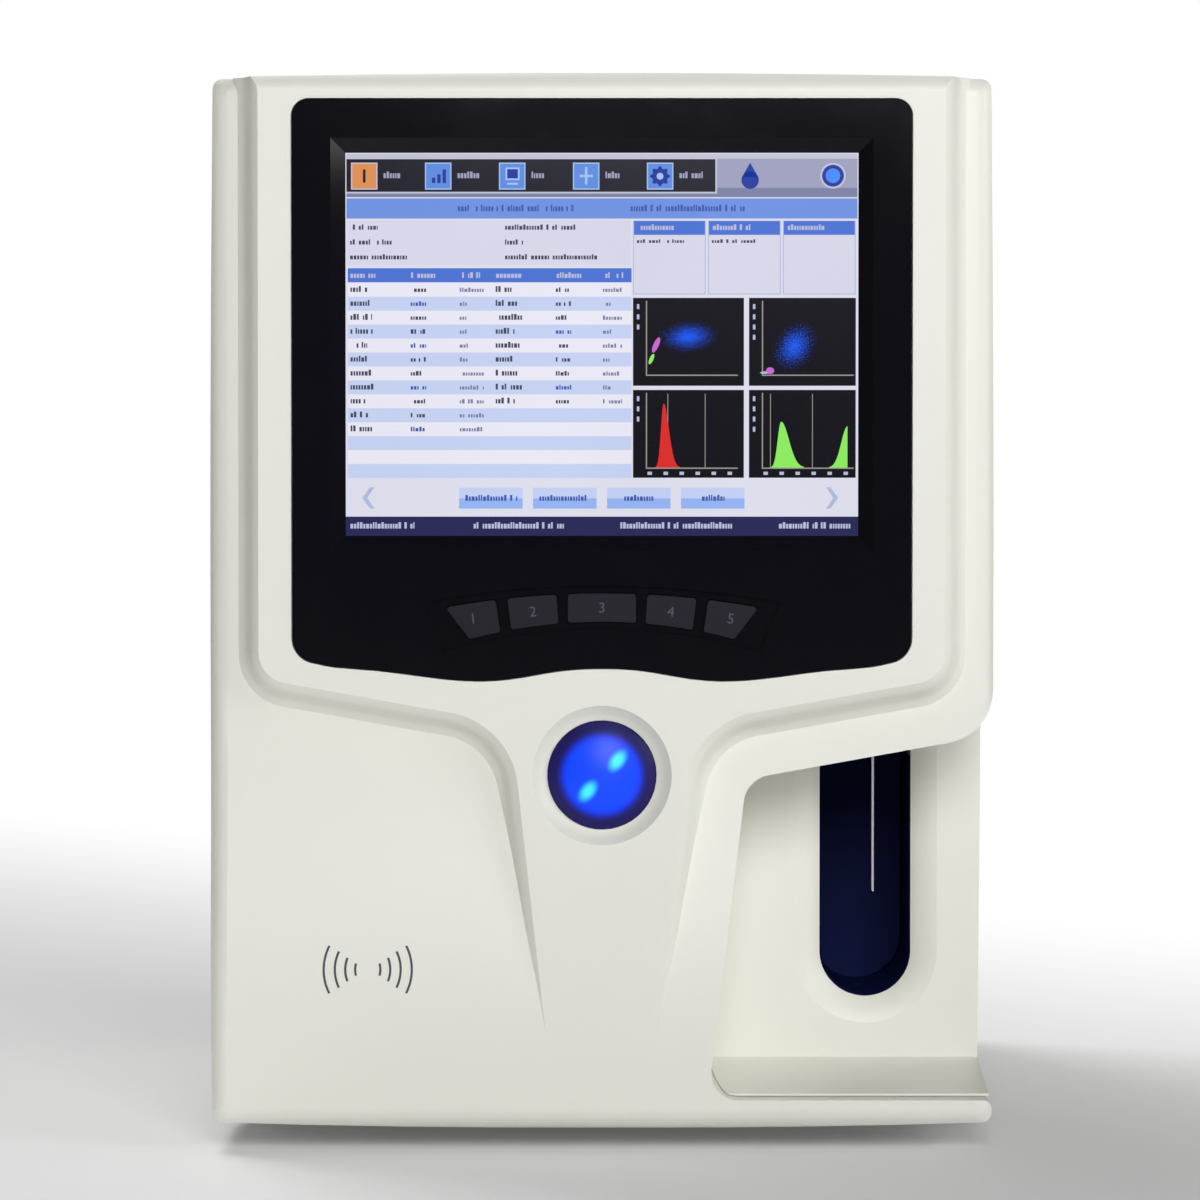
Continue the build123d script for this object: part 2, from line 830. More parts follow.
def card_reader_board():
    """Reader board for contactless cards, on its four posts inside the cover."""
    z = z_of(card_height)
    half = card_board_width / 2
    tall = card_board_tall / 2
    back = card_board_y + board_sheet
    board = block((card_x - half, card_x + half), (card_board_y, back), (z - tall, z + tall))
    return board + block((card_x - 5, card_x + 5), (card_board_y + 1, back + 1.4), (z - 5, z + 5))


def side_panel(sign):
    """Folded side panel with its front and rear flanges and a field of vent slots."""
    outer = panel_half_width
    start = cover_rear_y + panel_gap
    low = z_of(deck_height) - 3
    high = panel_top_z - sheet - 0.1
    x = sorted((sign * outer, sign * (outer - sheet)))
    plate = block(x, (start, rear_y), (low, high))
    for y, z in side_screw_places():
        plate = plate - rod((x[0] - 1, y, z), (x[1] + 1, y, z), screw_shank + 0.2)
    turned = sorted((sign * outer, sign * (outer - 12)))
    plate = plate + block(turned, (start, start + sheet), (low + 16, high - 4))
    plate = plate + block(turned, (rear_y - sheet, rear_y), (low + 16, high - 4))
    for place_x, z in rear_screw_places():
        plate = plate - rod((place_x, rear_y - 3, z), (place_x, rear_y + 1, z), screw_shank)
    for column in range(3):
        y = rear_y - 150 + column * 40
        for row in range(7):
            z = z_of(60) + row * 12
            plate = plate - block((x[0] - 1, x[1] + 1), (y, y + 30), (z, z + 4.5))
    return plate


def top_cover():
    """Top panel with its folded front and rear edges."""
    start = cover_rear_y + panel_gap
    high = panel_top_z
    half = panel_half_width
    plate = block((-half, half), (start, rear_y), (high - sheet, high))
    inner = half - sheet - 14
    edge = (high - 14, high)
    front = block((-inner, inner), (start, start + sheet), edge)
    back = block((-inner, inner), (rear_y - sheet, rear_y), edge)
    return plate + front + back


def base_plate():
    """Steel tray that carries the inside, with turned-up sides and a front tongue."""
    low = z_of(deck_height)
    half = panel_half_width - sheet - 0.1
    start = cover_rear_y + 3
    end = rear_y - sheet - 0.1
    plate = block((-half, half), (start, end), (low, low + deck_sheet))
    tongue_half = bay_foot_x - 8
    plate = plate + block((-half + 6, tongue_half), (front_y + 24, start), (low, low + deck_sheet))
    for sign in (-1, 1):
        x = sorted((sign * half, sign * (half - sheet)))
        plate = plate + block(x, (start, end), (low, low + 14))
        for y, z in side_screw_places():
            plate = plate - rod((x[0] - 1, y, z), (x[1] + 1, y, z), screw_shank)
    return plate


def foot_places():
    """Middles of the four feet, seen from above."""
    front = cover_rear_y + 24
    back = rear_y - 30
    side = panel_half_width - 26
    return [(x, y) for x in (-side, side) for y in (front, back)]


def feet():
    """Four tapered rubber feet under the base plate."""
    solids = []
    for x, y in foot_places():
        cone = Pos(x, y, foot_height / 2) * Cone(foot_radius - 2, foot_radius, foot_height)
        solids.append((cone - Pos(x, y, 2) * Cylinder(3.5, 8)).solid())
    return Compound(children=solids)


def inner_frame():
    """Folded frame: long wall, front bulkhead, shelf and the sampler's idler post."""
    low = deck_top()
    high = z_of(frame_top_height)
    wall = (frame_wall_x, wall_side())
    start = cover_rear_y + frame_setback
    end = rear_y - 14
    left = frame_side_gap - panel_half_width
    frame = block(wall, (start, end), (low, high))
    frame = frame + block((left, wall[1]), (start, start + deck_sheet), (low, high))
    frame = frame + block((left, wall[1]), (start, end), (shelf_top() - deck_sheet, shelf_top()))
    frame = frame + block((left, wall[1]), (start, start + 18), (low, low + deck_sheet))
    for share in (0.26, 0.53, 0.8):
        y = start + share * (end - start)
        frame = frame - Pos(wall[0], y, high - 20) * Box(20, 50, 14)
    pitch = (wall[0] - left) / 3
    for step in range(3):
        x = left + (step + 0.5) * pitch
        window = ((x - pitch * 0.3, x + pitch * 0.3), (start - 5, start + 10))
        frame = frame - block(*window, (shelf_top() + 28, high - 30))
    frame = frame - Pos(wall[0], start + 40, shelf_top() - 42) * Box(20, 40, 30)
    drive_y, drive_z = pulley_places()[1]
    frame = frame - rod((wall[0] - 5, drive_y, drive_z), (wall[1] + 5, drive_y, drive_z), 4.0)
    pin_y, pin_z = pulley_places()[0]
    return frame + rod((wall[0], pin_y, pin_z), (belt_x()[1] + 2, pin_y, pin_z), pulley_pin)


def pulley_places():
    """Y and Z of the idler pulley in front and the drive pulley behind."""
    z = z_of(rail_height + belt_rise)
    front = cover_rear_y + frame_setback + 12
    return [(front, z), (front + rail_length + 6, z)]


def belt_x():
    """The two sides of the belt."""
    start = wall_side() + 11
    return (start, start + belt_width)


def sampler_rail():
    """Slide rail of the sampler on the long wall."""
    x = wall_side()
    start = cover_rear_y + frame_setback + 2
    end = start + rail_length
    z = z_of(rail_height)
    rail = block((x, x + 4), (start, end), (z - 9, z + 9))
    rail = rail + block((x + 3, x + 12), (start, end), (z - 5, z + 5))
    for dz in (-6, 6):
        rail = rail - rod((x + 8, start - 1, z + dz), (x + 8, end + 1, z + dz), 2.2)
    return rail


def sampler_motor():
    """Motor that drives the sampler's belt from behind the wall."""
    y, z = pulley_places()[1]
    x = frame_wall_x
    case = block((x - 34, x), (y - 17, y + 17), (z - 17, z + 17))
    case = chamfer(case.edges().filter_by(Axis.X), 3)
    return case - rod((x - 20, y, z), (x + 1, y, z), pulley_pin + loose_fit)


def sampler_belt():
    """Toothed belt, drawn as the loop that it keeps."""
    front, back = pulley_places()
    apart = back[0] - front[0]
    inner = pulley_radius + loose_fit
    outer = inner + belt_thickness
    middle = (belt_x()[0], front[0] + apart / 2, front[1])
    plane = Plane(origin=middle, x_dir=(0, 1, 0), z_dir=(1, 0, 0))
    ring = SlotCenterToCenter(apart, 2 * outer) - SlotCenterToCenter(apart, 2 * inner)
    return extrude(plane * ring, amount=belt_width)


def pulley(index):
    """Toothed pulley with its two rims; the rear one carries its shaft."""
    y, z = pulley_places()[index]
    low, high = belt_x()
    teeth = 12
    gap = 0.4
    body = rod((low - gap, y, z), (high + gap, y, z), pulley_radius)
    for step in range(teeth):
        turn = 2 * math.pi * step / teeth
        tooth_y = y + (pulley_radius + gap) * math.cos(turn)
        tooth_z = z + (pulley_radius + gap) * math.sin(turn)
        body = body - rod((low - 1, tooth_y, tooth_z), (high + 1, tooth_y, tooth_z), 0.8)
    for side in ((low - gap - 1.2, low - gap), (high + gap, high + gap + 1.2)):
        body = body + rod((side[0], y, z), (side[1], y, z), pulley_radius + pulley_rim)
    if index == 0:
        return body - rod((low - 5, y, z), (high + 5, y, z), pulley_pin + running_fit)
    return body + rod((frame_wall_x - 19, y, z), (high, y, z), pulley_pin)


def carriage_middle():
    """Y of the middle of the carriage at rest."""
    return needle_y + carriage_setback


def sampler_carriage():
    """Carriage on the rail with the upright plate and the two arms of the lift."""
    x = wall_side()
    y = carriage_middle()
    z = z_of(rail_height)
    half = carriage_width / 2
    fit = loose_fit
    across = (y - half, y + half)
    body = block((x + 4 + fit, x + 26), across, (z - 13, z + 24))
    body = body - block((x, x + 12 + fit), (y - half - 1, y + half + 1), (z - 5 - fit, z + 5 + fit))
    strand = z + belt_rise - pulley_radius - fit - belt_thickness
    clamp = block((belt_x()[0] - 1, belt_x()[1] + 1), (y, y + 12), (z + 23, strand - fit))
    low = z_of(guide_low_height)
    high = z + lift_head_rise
    carriage = body + clamp + block((x + 26, x + lift_plate), across, (low, high))
    for arm in (low, high - lift_arm):
        piece = block((x + 26, lift_x + 9), across, (arm, arm + lift_arm))
        for side in (-1, 1):
            centre = (lift_x, y + side * guide_spacing / 2)
            piece = piece - rod((*centre, arm - 1), (*centre, arm + lift_arm + 1), guide_radius)
        bore = screw_radius + fit
        carriage = carriage + (piece - rod((lift_x, y, arm - 1), (lift_x, y, arm + lift_arm + 1), bore))
    return carriage


def guide_rods():
    """Two ground rods of the lift."""
    low = z_of(guide_low_height)
    high = z_of(rail_height + lift_head_rise)
    pieces = []
    for side in (-1, 1):
        place = (lift_x, carriage_middle() + side * guide_spacing / 2)
        pieces.append(rod((*place, low), (*place, high), guide_radius).solid())
    return Compound(children=pieces)


def lift_motor():
    """Small motor on the upper arm that turns the lift screw."""
    y = carriage_middle()
    low = z_of(rail_height + lift_head_rise)
    half = lift_motor_width / 2
    case = block((lift_x - half, lift_x + half), (y - half, y + half), (low, low + lift_motor_height))
    case = chamfer(case.edges().filter_by(Axis.Z), 2.5)
    end = low + lift_motor_height / 2
    return case - rod((lift_x, y, low - 1), (lift_x, y, end), screw_radius + loose_fit)


def lift_screw():
    """Screw of the lift with its plain journals."""
    y = carriage_middle()
    low = z_of(guide_low_height) + 1
    high = z_of(rail_height + lift_head_rise) + lift_motor_height / 2 - 1
    return rod((lift_x, y, low), (lift_x, y, high), screw_radius)


def probe_block():
    """Block that slides on the two rods and holds the needle on its arm."""
    y = carriage_middle()
    low = z_of(probe_height)
    high = low + probe_tall
    x = wall_side() + lift_plate + loose_fit
    half = carriage_width / 2 - 1
    body = block((x, lift_x + 8), (y - half, y + half), (low, high))
    body = body + block((needle_x - 7, needle_x + 5), (needle_y - 6, y), (low + 6, high - 6))
    for side in (-1, 1):
        centre = (lift_x, y + side * guide_spacing / 2)
        body = body - rod((*centre, low - 1), (*centre, high + 1), guide_radius + running_fit)
    body = body - rod((lift_x, y, low - 1), (lift_x, y, high + 1), screw_radius + loose_fit)
    return body - rod((needle_x, needle_y, low), (needle_x, needle_y, high + 6), needle_radius)


def needle():
    """Sampling needle: thin tube with a slanted tip."""
    low = z_of(needle_tip_height)
    high = z_of(probe_height + probe_tall + 8)
    bar = tube((needle_x, needle_y, low), (needle_x, needle_y, high), needle_radius, needle_bore)
    cut = Pos(needle_x, needle_y, low) * Rot(0, 55, 0) * Pos(0, 0, -2) * Box(8, 8, 4)
    collar = tube((needle_x, needle_y, high - 6), (needle_x, needle_y, high), 2.2, needle_bore)
    return bar - cut + collar


def wall_side():
    """X of the long wall's right face, where the right-hand units sit."""
    return frame_wall_x + deck_sheet


def syringe_axis():
    """X and Y of the syringe unit's middle."""
    return (wall_side() + syringe_reach, rear_y - pump_rear_gap - syringe_pump_gap)


def syringe_frame():
    """Bracket of the syringe unit with its three arms."""
    x, y = syringe_axis()
    wall = wall_side()
    across = (y - syringe_half_width, y + syringe_half_width)
    high = syringe_high_height + syringe_arm
    frame = block((wall, wall + 4), across, (z_of(syringe_low_height), z_of(high)))
    for height in (syringe_low_height, syringe_middle_height, syringe_high_height):
        bottom = z_of(height)
        top = bottom + syringe_arm
        arm = block((wall, x + 24), across, (bottom, top))
        arm = arm - rod((x, y, bottom - 1), (x, y, top + 1), screw_radius + loose_fit)
        for side in (-1, 1):
            place = (x, y + side * plunger_spacing / 2)
            bore = rod((*place, bottom - 1), (*place, top + 1), plunger_radius + loose_fit)
            arm = arm - bore if height == syringe_middle_height else arm
        frame = frame + arm
    return frame


def syringe_barrels():
    """Two glass syringe barrels with their port ends."""
    x, middle = syringe_axis()
    low = z_of(syringe_middle_height) + syringe_arm
    high = low + barrel_length
    pieces = []
    for side in (-1, 1):
        y = middle + side * plunger_spacing / 2
        barrel = tube((x, y, low), (x, y, high), barrel_radius, plunger_radius + loose_fit)
        cap = rod((x, y, high - 1), (x, y, high + barrel_cap), barrel_radius - 1)
        pieces.append((barrel + cap).solid())
    return Compound(children=pieces)


def syringe_plungers():
    """Two plungers on one crosshead with the nut of the screw."""
    x, y = syringe_axis()
    low = z_of(syringe_head_height)
    high = low + syringe_nut
    half = syringe_half_width - 4
    head = block((x - 10, x + 10), (y - half, y + half), (low, high))
    tip = z_of(syringe_middle_height) + syringe_arm + barrel_length - 6
    for side in (-1, 1):
        place = (x, y + side * plunger_spacing / 2)
        head = head + rod((*place, high - 1), (*place, tip), plunger_radius)
    nut = rod((x, y, low - syringe_nut), (x, y, high + 1), 7.0)
    return head + nut - rod((x, y, low - syringe_nut - 1), (x, y, high + 2), screw_radius + loose_fit)


def syringe_screw():
    """Screw that moves the crosshead."""
    x, y = syringe_axis()
    low = z_of(syringe_low_height) - 4
    return rod((x, y, low), (x, y, z_of(syringe_middle_height) + syringe_arm - 1), screw_radius)


def syringe_motor():
    """Stepper motor below the syringe frame."""
    x, y = syringe_axis()
    half = stepper_size / 2
    high = z_of(syringe_low_height)
    case = block((x - half, x + half), (y - half, y + half), (high - stepper_size, high))
    case = chamfer(case.edges().filter_by(Axis.Z), 4)
    return case - rod((x, y, high - 10), (x, y, high + 1), screw_radius + loose_fit)


def pump_place():
    """Y and Z of the peristaltic pump's axis."""
    return (rear_y - pump_rear_gap, z_of(95))


def pump_housing():
    """Cup of the peristaltic pump on the long wall, with its two hose stubs."""
    x = wall_side()
    y, z = pump_place()
    inner = pump_radius - 4
    cup = rod((x, y, z), (x + 34, y, z), pump_radius) - rod((x + 4, y, z), (x + 35, y, z), inner)
    cup = cup - rod((x - 1, y, z), (x + 6, y, z), 4 + running_fit)
    for side in (-1, 1):
        place = (x + 20, y + side * 20)
        cup = cup + rod((*place, z + 20), (*place, z + pump_radius + 10), 4)
        cup = cup - rod((*place, z + 22), (*place, z + pump_radius + 11), 2.5)
    return cup


def pump_rotor():
    """Rotor of the peristaltic pump with three rollers between two discs."""
    x = wall_side()
    y, z = pump_place()
    body = rod((x + 1, y, z), (x + 32, y, z), 4)
    for start in (8, 26):
        body = body + rod((x + start, y, z), (x + start + 3, y, z), roller_orbit + 4)
    for step in range(3):
        turn = math.radians(120 * step + 90)
        ry = y + roller_orbit * math.cos(turn)
        rz = z + roller_orbit * math.sin(turn)
        body = body + rod((x + 10, ry, rz), (x + 27, ry, rz), roller_radius)
    return body


def deck_top():
    """Z of the upper face of the base plate."""
    return z_of(deck_height) + deck_sheet


def supply_side():
    """X of the right side of the power supply."""
    return unit_side_gap - panel_half_width + supply_width


def power_supply():
    """Vented case of the power supply on the base plate."""
    low = deck_top()
    x = (supply_side() - supply_width, supply_side())
    start = waste_place()[1] + waste_radius + waste_supply_gap
    end = rear_y - supply_rear_gap
    case = block(x, (start, end), (low, low + supply_tall))
    pitch = (end - start - 20) / 8
    top = low + supply_tall
    for row in range(8):
        y = start + 10 + row * pitch
        case = case - block((x[0] + 12, x[1] - 12), (y, y + 6), (top - 2, top + 8))
    return case


def vacuum_pump():
    """Diaphragm pump: motor can and finned head on a foot."""
    low = deck_top()
    y = rear_y - 110
    start = supply_side() + 18
    end = frame_wall_x - 26
    head_start = end - 26
    foot = block((start, end), (y - 26, y + 26), (low, low + 5))
    saddle = block((start + 14, head_start - 4), (y - 14, y + 14), (low + 4, low + 20))
    can = rod((start, y, low + 38), (head_start, y, low + 38), 24)
    head = block((head_start, end), (y - 26, y + 26), (low + 12, low + 66))
    for row in range(5):
        z = low + 20 + row * 9
        head = head - block((end - 10, end + 1), (y - 27, y + 27), (z, z + 4))
    return foot + saddle + can + head


def waste_place():
    """X and Y of the waste chamber's axis."""
    return (unit_side_gap + 6 + waste_radius - panel_half_width, cover_rear_y + waste_setback)


def waste_chamber():
    """Blow-moulded waste chamber with its neck and cap."""
    low = deck_top()
    x, y = waste_place()
    body = rod((x, y, low), (x, y, low + waste_tall), waste_radius)
    body = fillet(body.edges(), 6)
    return body + rod((x, y, low + waste_tall - 1), (x, y, low + waste_tall + 16), 16)


def manifold_sides():
    """X of both ends of the valve block, between the waste chamber and the long wall."""
    return (waste_place()[0] + waste_radius + 26, frame_wall_x - 22)


def valve_block():
    """Manifold on a stand with three rows of solenoid valves."""
    low = deck_top()
    x = manifold_sides()
    y = cover_rear_y + manifold_setback
    body = block(x, (y - 18, y + 18), (low, low + manifold_tall))
    pitch = (x[1] - x[0] - 20) / 4
    for column in range(5):
        for row in range(3):
            place = (x[0] + 10 + column * pitch, low + 30 + row * 30)
            body = body + rod((place[0], y + 17, place[1]), (place[0], y + 40, place[1]), 8)
            body = body + rod((place[0], y + 40, place[1]), (place[0], y + 44, place[1]), 3)
    return body


def mixing_baths():
    """Two open conical mixing baths on the valve block."""
    low = deck_top() + manifold_tall
    left, right = manifold_sides()
    y = cover_rear_y + manifold_setback
    outer = (right - left) * 0.1875
    inner = outer - bath_wall
    profile = [(0, 0), (9, 0), (9, 8), (outer, 26), (outer, bath_tall), (inner, bath_tall)]
    profile = profile + [(inner, 27), (6, 9), (0, 9)]
    pieces = []
    for share in (0.25, 0.75):
        x = left + share * (right - left)
        plane = Plane(origin=(x, y, low), x_dir=(1, 0, 0), z_dir=(0, -1, 0))
        face = plane * make_face(Polyline(*profile, close=True))
        pieces.append(revolve(face, Axis((x, y, low), (0, 0, 1))).solid())
    return Compound(children=pieces)


def shelf_top():
    """Z of the upper face of the frame's shelf."""
    return z_of(shelf_height) + deck_sheet


def optics_place():
    """Left end and Y of the optical bench."""
    return (18.5 - panel_half_width, cover_rear_y + 64)


def optics_bench():
    """Optical bench with the laser tube, lens mounts and detector housings."""
    low = shelf_top()
    x, y = optics_place()
    axis = low + 30
    bench = block((x, x + 164), (y - 34, y + 34), (low, low + 8))
    bench = bench + rod((x + 4, y, axis), (x + 62, y, axis), 12)
    bench = bench + block((x + 12, x + 52), (y - 12, y + 12), (low + 7, low + 26))
    for start in (x + 74, x + 88):
        mount = block((start, start + 5), (y - 16, y + 16), (low + 7, low + 48))
        bench = bench + (mount - rod((start - 1, y, axis), (start + 6, y, axis), 9))
    detector = block((x + 132, x + 160), (y - 18, y + 18), (low + 7, low + 50))
    side = block((x + 102, x + 126), (y + 12, y + 32), (low + 7, low + 44))
    return bench + detector + side


def flow_cell():
    """Glass flow cell in its clamp between the lenses and the detector."""
    low = shelf_top() + 8
    x, y = optics_place()
    middle = x + 109
    clamp = block((middle - 9, middle + 9), (y - 9, y + 9), (low, low + 14))
    cell = block((middle - 3, middle + 3), (y - 3, y + 3), (low + 13, low + 42))
    top = block((middle - 8, middle + 8), (y - 8, y + 8), (low + 41, low + 50))
    return clamp + cell + top


def main_board():
    """Main circuit board on its pillars, with chips and a row of connectors."""
    low = shelf_top()
    x = 12.5 - panel_half_width
    y = cover_rear_y + 120
    wide = 166
    deep = 130
    under = low + board_pillar
    board = block((x, x + wide), (y, y + deep), (under, under + board_sheet))
    for px in (x + 8, x + wide - 8):
        for py in (y + 8, y + deep - 8):
            board = board + rod((px, py, low), (px, py, under + 1), 3.5)
    for cx, cy, size in ((46, 70, 16), (96, 60, 12), (136, 80, 9)):
        chip = ((x + cx - size, x + cx + size), (y + cy - size, y + cy + size))
        board = board + block(*chip, (under + 1, under + 5))
    for column in range(5):
        start = x + 10 + column * 26
        board = board + block((start, start + 18), (y + 2, y + 10), (under + 1, under + 12))
    return board


def inlet_openings():
    """X and Z ranges of the rear panel's openings for the inlet and the rocker switch."""
    inlet = ((inlet_x - 15.3, inlet_x + 15.3), (z_of(inlet_height - 24.3), z_of(inlet_height + 16.3)))
    rocker = ((rocker_x - 12.3, rocker_x + 12.3), (z_of(inlet_height - 17.3), z_of(inlet_height + 17.3)))
    return [inlet, rocker]


def port_places():
    """X and Z of the reagent and waste ports."""
    return [(port_first_x + port_pitch * step, z_of(port_height)) for step in range(port_count)]


def data_places():
    """X, Z, width and height of the data ports."""
    z = z_of(data_height)
    return [(data_x, z, 17.0, 10.0), (data_x + 40.0, z, 18.0, 15.0)]


def rear_screw_places():
    """Screws of the rear panel, in the side panels' rear flanges."""
    pitch = (cover_height - 106) / 3
    heights = [50 + step * pitch for step in range(4)]
    return [(side * (panel_half_width - 6), z_of(h)) for side in (-1, 1) for h in heights]


def side_screw_places():
    """Y and Z of the screws that hold a side panel to the base plate."""
    z = z_of(deck_height) + 9
    return [(y, z) for y in (cover_rear_y + 40, (cover_rear_y + rear_y) / 2, rear_y - 40)]


def rear_panel():
    """Rear sheet with the openings of the fan, the inlet, the switch and the ports."""
    low = z_of(deck_height) - 3
    half = panel_half_width
    start = rear_y
    cut = (start - 1, start + 5)
    panel = block((-half, half), (start, start + sheet), (low, panel_top_z))
    x, z = fan_axis()
    panel = panel - rod((x, cut[0], z), (x, cut[1], z), fan_size / 2 - 3)
    for x, z in inlet_openings():
        panel = panel - block(x, cut, z)
    for x, z in port_places():
        panel = panel - rod((x, cut[0], z), (x, cut[1], z), 7.0)
    for x, z, wide, tall in data_places():
        panel = panel - block((x - wide / 2, x + wide / 2), cut, (z - tall / 2, z + tall / 2))
    for x, z in rear_screw_places():
        panel = panel - rod((x, cut[0], z), (x, cut[1], z), screw_shank + 0.2)
    left = port_first_x + 28
    for row in range(8):
        z = z_of(fan_height - 30) + row * 12
        panel = panel - block((left, left + 80), cut, (z, z + 5))
    return panel


def power_inlet():
    """Mains inlet with its three blades above the sleeve of the fuse drawer."""
    z = z_of(inlet_height)
    x = inlet_x
    face = rear_y + sheet
    body = block((x - 15, x + 15), (rear_y - 24, face), (z - 24, z + 16))
    body = body + block((x - 19, x + 19), (face, face + 2), (z - 28, z + 20))
    well = block((x - 12.2, x + 12.2), (rear_y - 14, face + 3), (z - 5, z + 11))
    well = chamfer(well.edges().filter_by(Axis.Y).sort_by(Axis.Z)[-2:], 4)
    body = body - well
    for dx, dz in ((-7, 1), (7, 1), (0, 5)):
        blade = block((x + dx - 1, x + dx + 1), (rear_y - 15, rear_y - 1), (z + dz - 2, z + dz + 2))
        body = body + blade
    drawer_room = (rear_y - fuse_travel - 1, face + 3)
    return body - block((x - 11, x + 11), drawer_room, (z - 21, z - 11))


def fuse_drawer():
    """Fuse drawer with its finger lip."""
    z = z_of(inlet_height)
    x = inlet_x
    face = rear_y + sheet + 2
    fit = loose_fit
    start = rear_y - fuse_travel - 0.5
    body = block((x - 11 + fit, x + 11 - fit), (start, face), (z - 21 + fit, z - 11 - fit))
    body = body - block((x - 8, x + 8), (start + 2.5, rear_y - 2), (z - 17, z - 9))
    lip = block((x - 13, x + 13), (face + 0.2, face + 2.2), (z - 22.5, z - 9.5))
    neck = block((x - 9, x + 9), (face - 0.5, face + 0.5), (z - 20, z - 12))
    return body + lip + neck


def rocker_frame():
    """Snap-in frame of the power switch, with the bores of the rocker's pins."""
    z = z_of(inlet_height)
    x = rocker_x
    face = rear_y + sheet
    body = block((x - 12, x + 12), (rear_y - 18, face), (z - 17, z + 17))
    body = body + block((x - 15, x + 15), (face, face + 1.6), (z - 20, z + 20))
    body = body - block((x - 9.5, x + 9.5), (rear_y - 14, face + 3), (z - 13.6, z + 13.6))
    pin_y = rocker_pin_y()
    return body - rod((x - 11.3, pin_y, z), (x + 11.3, pin_y, z), 1.5 + running_fit)


def rocker_pin_y():
    """Y of the rocker's pins."""
    return rear_y - 3.0


def power_rocker():
    """Rocker of the power switch on its two pins, resting in the off position."""
    z = z_of(inlet_height)
    pin_y = rocker_pin_y()
    points = [(-7, 0), (-4, -8), (3, -12.4), (7.5, -12.2), (4.6, 0), (7.5, 12.2), (3, 12.4), (-4, 8)]
    plane = Plane(origin=(rocker_x - 9.2, pin_y, z), x_dir=(0, 1, 0), z_dir=(1, 0, 0))
    body = extrude(plane * make_face(Polyline(*points, close=True)), amount=18.4)
    body = body + rod((rocker_x - 11.2, pin_y, z), (rocker_x + 11.2, pin_y, z), 1.5)
    return body.rotate(Axis((rocker_x, pin_y, z), (1, 0, 0)), -rocker_throw / 2)


def reagent_ports():
    """Hose nipples of the reagents and the waste, each with its nut on the panel."""
    pieces = []
    face = rear_y + sheet
    tip = rear_y + port_reach
    for x, z in port_places():
        body = rod((x, rear_y - 12, z), (x, face, z), 6.8)
        plane = Plane(origin=(x, face, z), x_dir=(1, 0, 0), z_dir=(0, 1, 0))
        body = body + extrude(plane * RegularPolygon(9, 6), amount=3.5)
        body = body + rod((x, face, z), (x, tip - port_lead, z), port_radius)
        end = Plane(origin=(x, tip - port_lead / 2, z), x_dir=(1, 0, 0), z_dir=(0, 1, 0))
        body = body + end * Cone(port_radius, port_radius - port_lead, port_lead)
        body = body - rod((x, rear_y - 13, z), (x, tip + 1, z), port_bore)
        pieces.append(body.solid())
    return Compound(children=pieces)


def data_port(index):
    """Metal shell of one data port with its contact tongue."""
    x, z, wide, tall = data_places()[index]
    wide = wide - 0.4
    tall = tall - 0.4
    face = rear_y + sheet + 1.2
    shell = block((x - wide / 2, x + wide / 2), (rear_y - 16, face), (z - tall / 2, z + tall / 2))
    inner_w = wide - 2.4
    inner_t = tall - 2.4
    room = (rear_y - 12, face + 1)
    shell = shell - block((x - inner_w / 2, x + inner_w / 2), room, (z - inner_t / 2, z + inner_t / 2))
    tongue = (z - 1, z + 1) if index == 0 else (z + inner_t / 2 - 2.5, z + inner_t / 2)
    return shell + block((x - inner_w / 2 + 1, x + inner_w / 2 - 1), (rear_y - 13, face - 3), tongue)


def fan_axis():
    """X and Z of the fan's axis."""
    return (fan_x, z_of(fan_height))


def fan_housing():
    """Square fan frame with its ring, three struts and the motor cup."""
    x, z = fan_axis()
    half = fan_size / 2
    start = rear_y - fan_depth
    body = block((x - half, x + half), (start, rear_y), (z - half, z + half))
    body = fillet(body.edges().filter_by(Axis.Y), 5)
    body = body - rod((x, start - 1, z), (x, rear_y + 1, z), half - 2.5)
    body = body - rod((x, start + 5, z), (x, rear_y - 5, z), half + 1)
    ring = rod((x, start + 2, z), (x, rear_y - 2, z), half - 0.5)
    ring = ring - rod((x, start, z), (x, rear_y, z), half - 2.5)
    body = body + ring
    for step in range(3):
        bar = block((x + 10, x + half - 1), (start, start + 3), (z - 2, z + 2))
        body = body + bar.rotate(Axis((x, start, z), (0, 1, 0)), 120 * step + 30)
    cup = rod((x, start, z), (x, start + 4, z), 16)
    return body + cup - rod((x, start + 1, z), (x, start + 5, z), 2 + running_fit)


def fan_rotor():
    """Fan rotor: hub, shaft and seven pitched blades."""
    x, z = fan_axis()
    start = rear_y - fan_depth + 4.6
    hub = rod((x, start, z), (x, start + 16, z), 16)
    hub = hub + rod((x, start - 3.5, z), (x, start + 1, z), 2)
    for step in range(7):
        low = Plane(origin=(x + 14, start + 8, z), x_dir=(0, 1, 0), z_dir=(1, 0, 0))
        high = Plane(origin=(x + 35.5, start + 8, z), x_dir=(0, 1, 0), z_dir=(1, 0, 0))
        sections = [low * Rot(0, 0, 50) * Rectangle(16, 1.6), high * Rot(0, 0, 30) * Rectangle(18, 1.2)]
        blade = loft(sections, ruled=True)
        hub = hub + blade.rotate(Axis((x, start, z), (0, 1, 0)), 360 / 7 * step)
    return hub


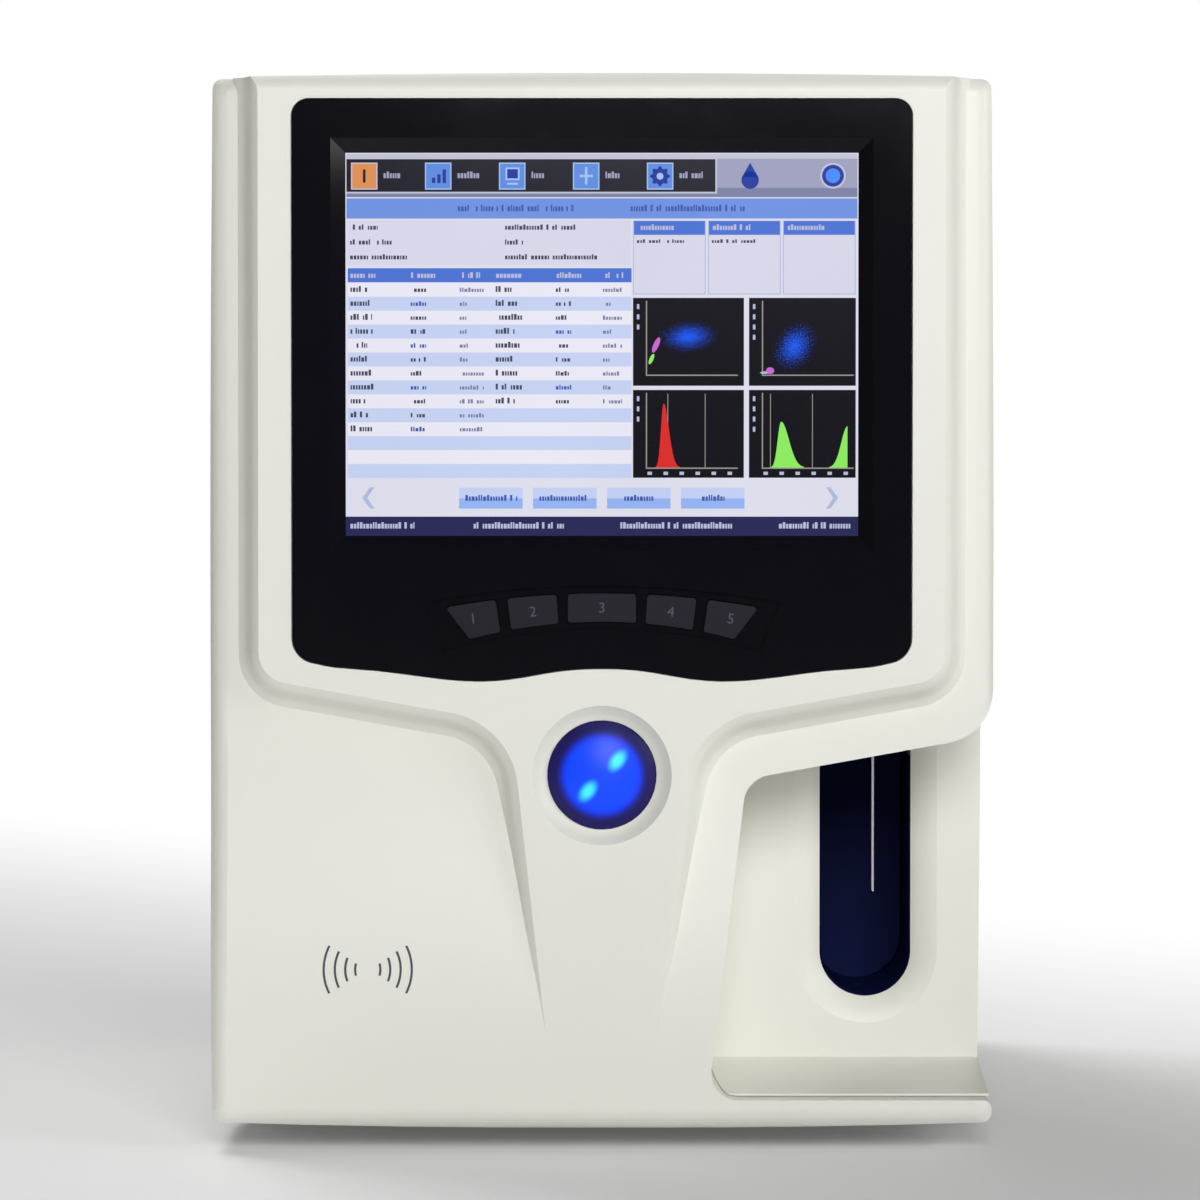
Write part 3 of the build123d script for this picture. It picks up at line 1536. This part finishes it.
def fan_guard():
    """Finger guard: rings and cross wires on the outside of the rear panel."""
    x, z = fan_axis()
    face = rear_y + sheet
    outer = fan_size / 2
    bar = block((x - outer, x + outer), (face, face + 2), (z - 1, z + 1))
    guard = bar.rotate(Axis((x, face, z), (0, 1, 0)), 45) + bar.rotate(Axis((x, face, z), (0, 1, 0)), 135)
    for step in range(5):
        radius = outer - 2 - 8 * step
        guard = guard + tube((x, face, z), (x, face + 2, z), radius + 2, radius)
    return guard


def screw(place, direction):
    """Pan-head screw whose head bears on place and whose shank points along direction."""
    plane = Plane(origin=place, z_dir=direction)
    shank = extrude(plane * Circle(screw_shank), amount=4.0)
    head = extrude(plane * Circle(2.9), amount=-2.0)
    slot = extrude(plane.offset(-2.0) * (Rectangle(3.4, 0.8) + Rectangle(0.8, 3.4)), amount=1.2)
    return (shank + head - slot).solid()


def panel_screws():
    """Screws of the rear panel and of both side panels."""
    pieces = [screw((x, rear_y + sheet, z), (0, -1, 0)) for x, z in rear_screw_places()]
    for side in (-1, 1):
        for y, z in side_screw_places():
            pieces.append(screw((side * panel_half_width, y, z), (-side, 0, 0)))
    return Compound(children=pieces)


def write_parts():
    """Build every piece and write it to its file."""
    os.makedirs("parts", exist_ok=True)
    single = [
        front_cover, bay_liner, probe_shroud, display_bezel, touch_screen, lcd_module, lcd_bracket,
        key_board, start_button, button_housing, button_board, card_reader_board, top_cover,
        base_plate, feet, inner_frame, rear_panel, panel_screws, sampler_rail, sampler_motor,
        sampler_belt, sampler_carriage, guide_rods, lift_motor, lift_screw, probe_block, needle,
        syringe_frame, syringe_barrels, syringe_plungers, syringe_screw, syringe_motor,
        pump_housing, pump_rotor, power_supply, vacuum_pump, waste_chamber, valve_block,
        mixing_baths, optics_bench, flow_cell, main_board, power_inlet, fuse_drawer,
        rocker_frame, power_rocker, reagent_ports, fan_housing, fan_rotor, fan_guard,
    ]
    for make in single:
        save(make(), make.__name__)
    for index in range(5):
        save(key(index), "key_" + str(index + 1))
    save(side_panel(-1), "left_panel")
    save(side_panel(1), "right_panel")
    save(pulley(0), "idler_pulley")
    save(pulley(1), "drive_pulley")
    save(Compound(children=[data_port(0), data_port(1)]), "data_ports")


write_parts()
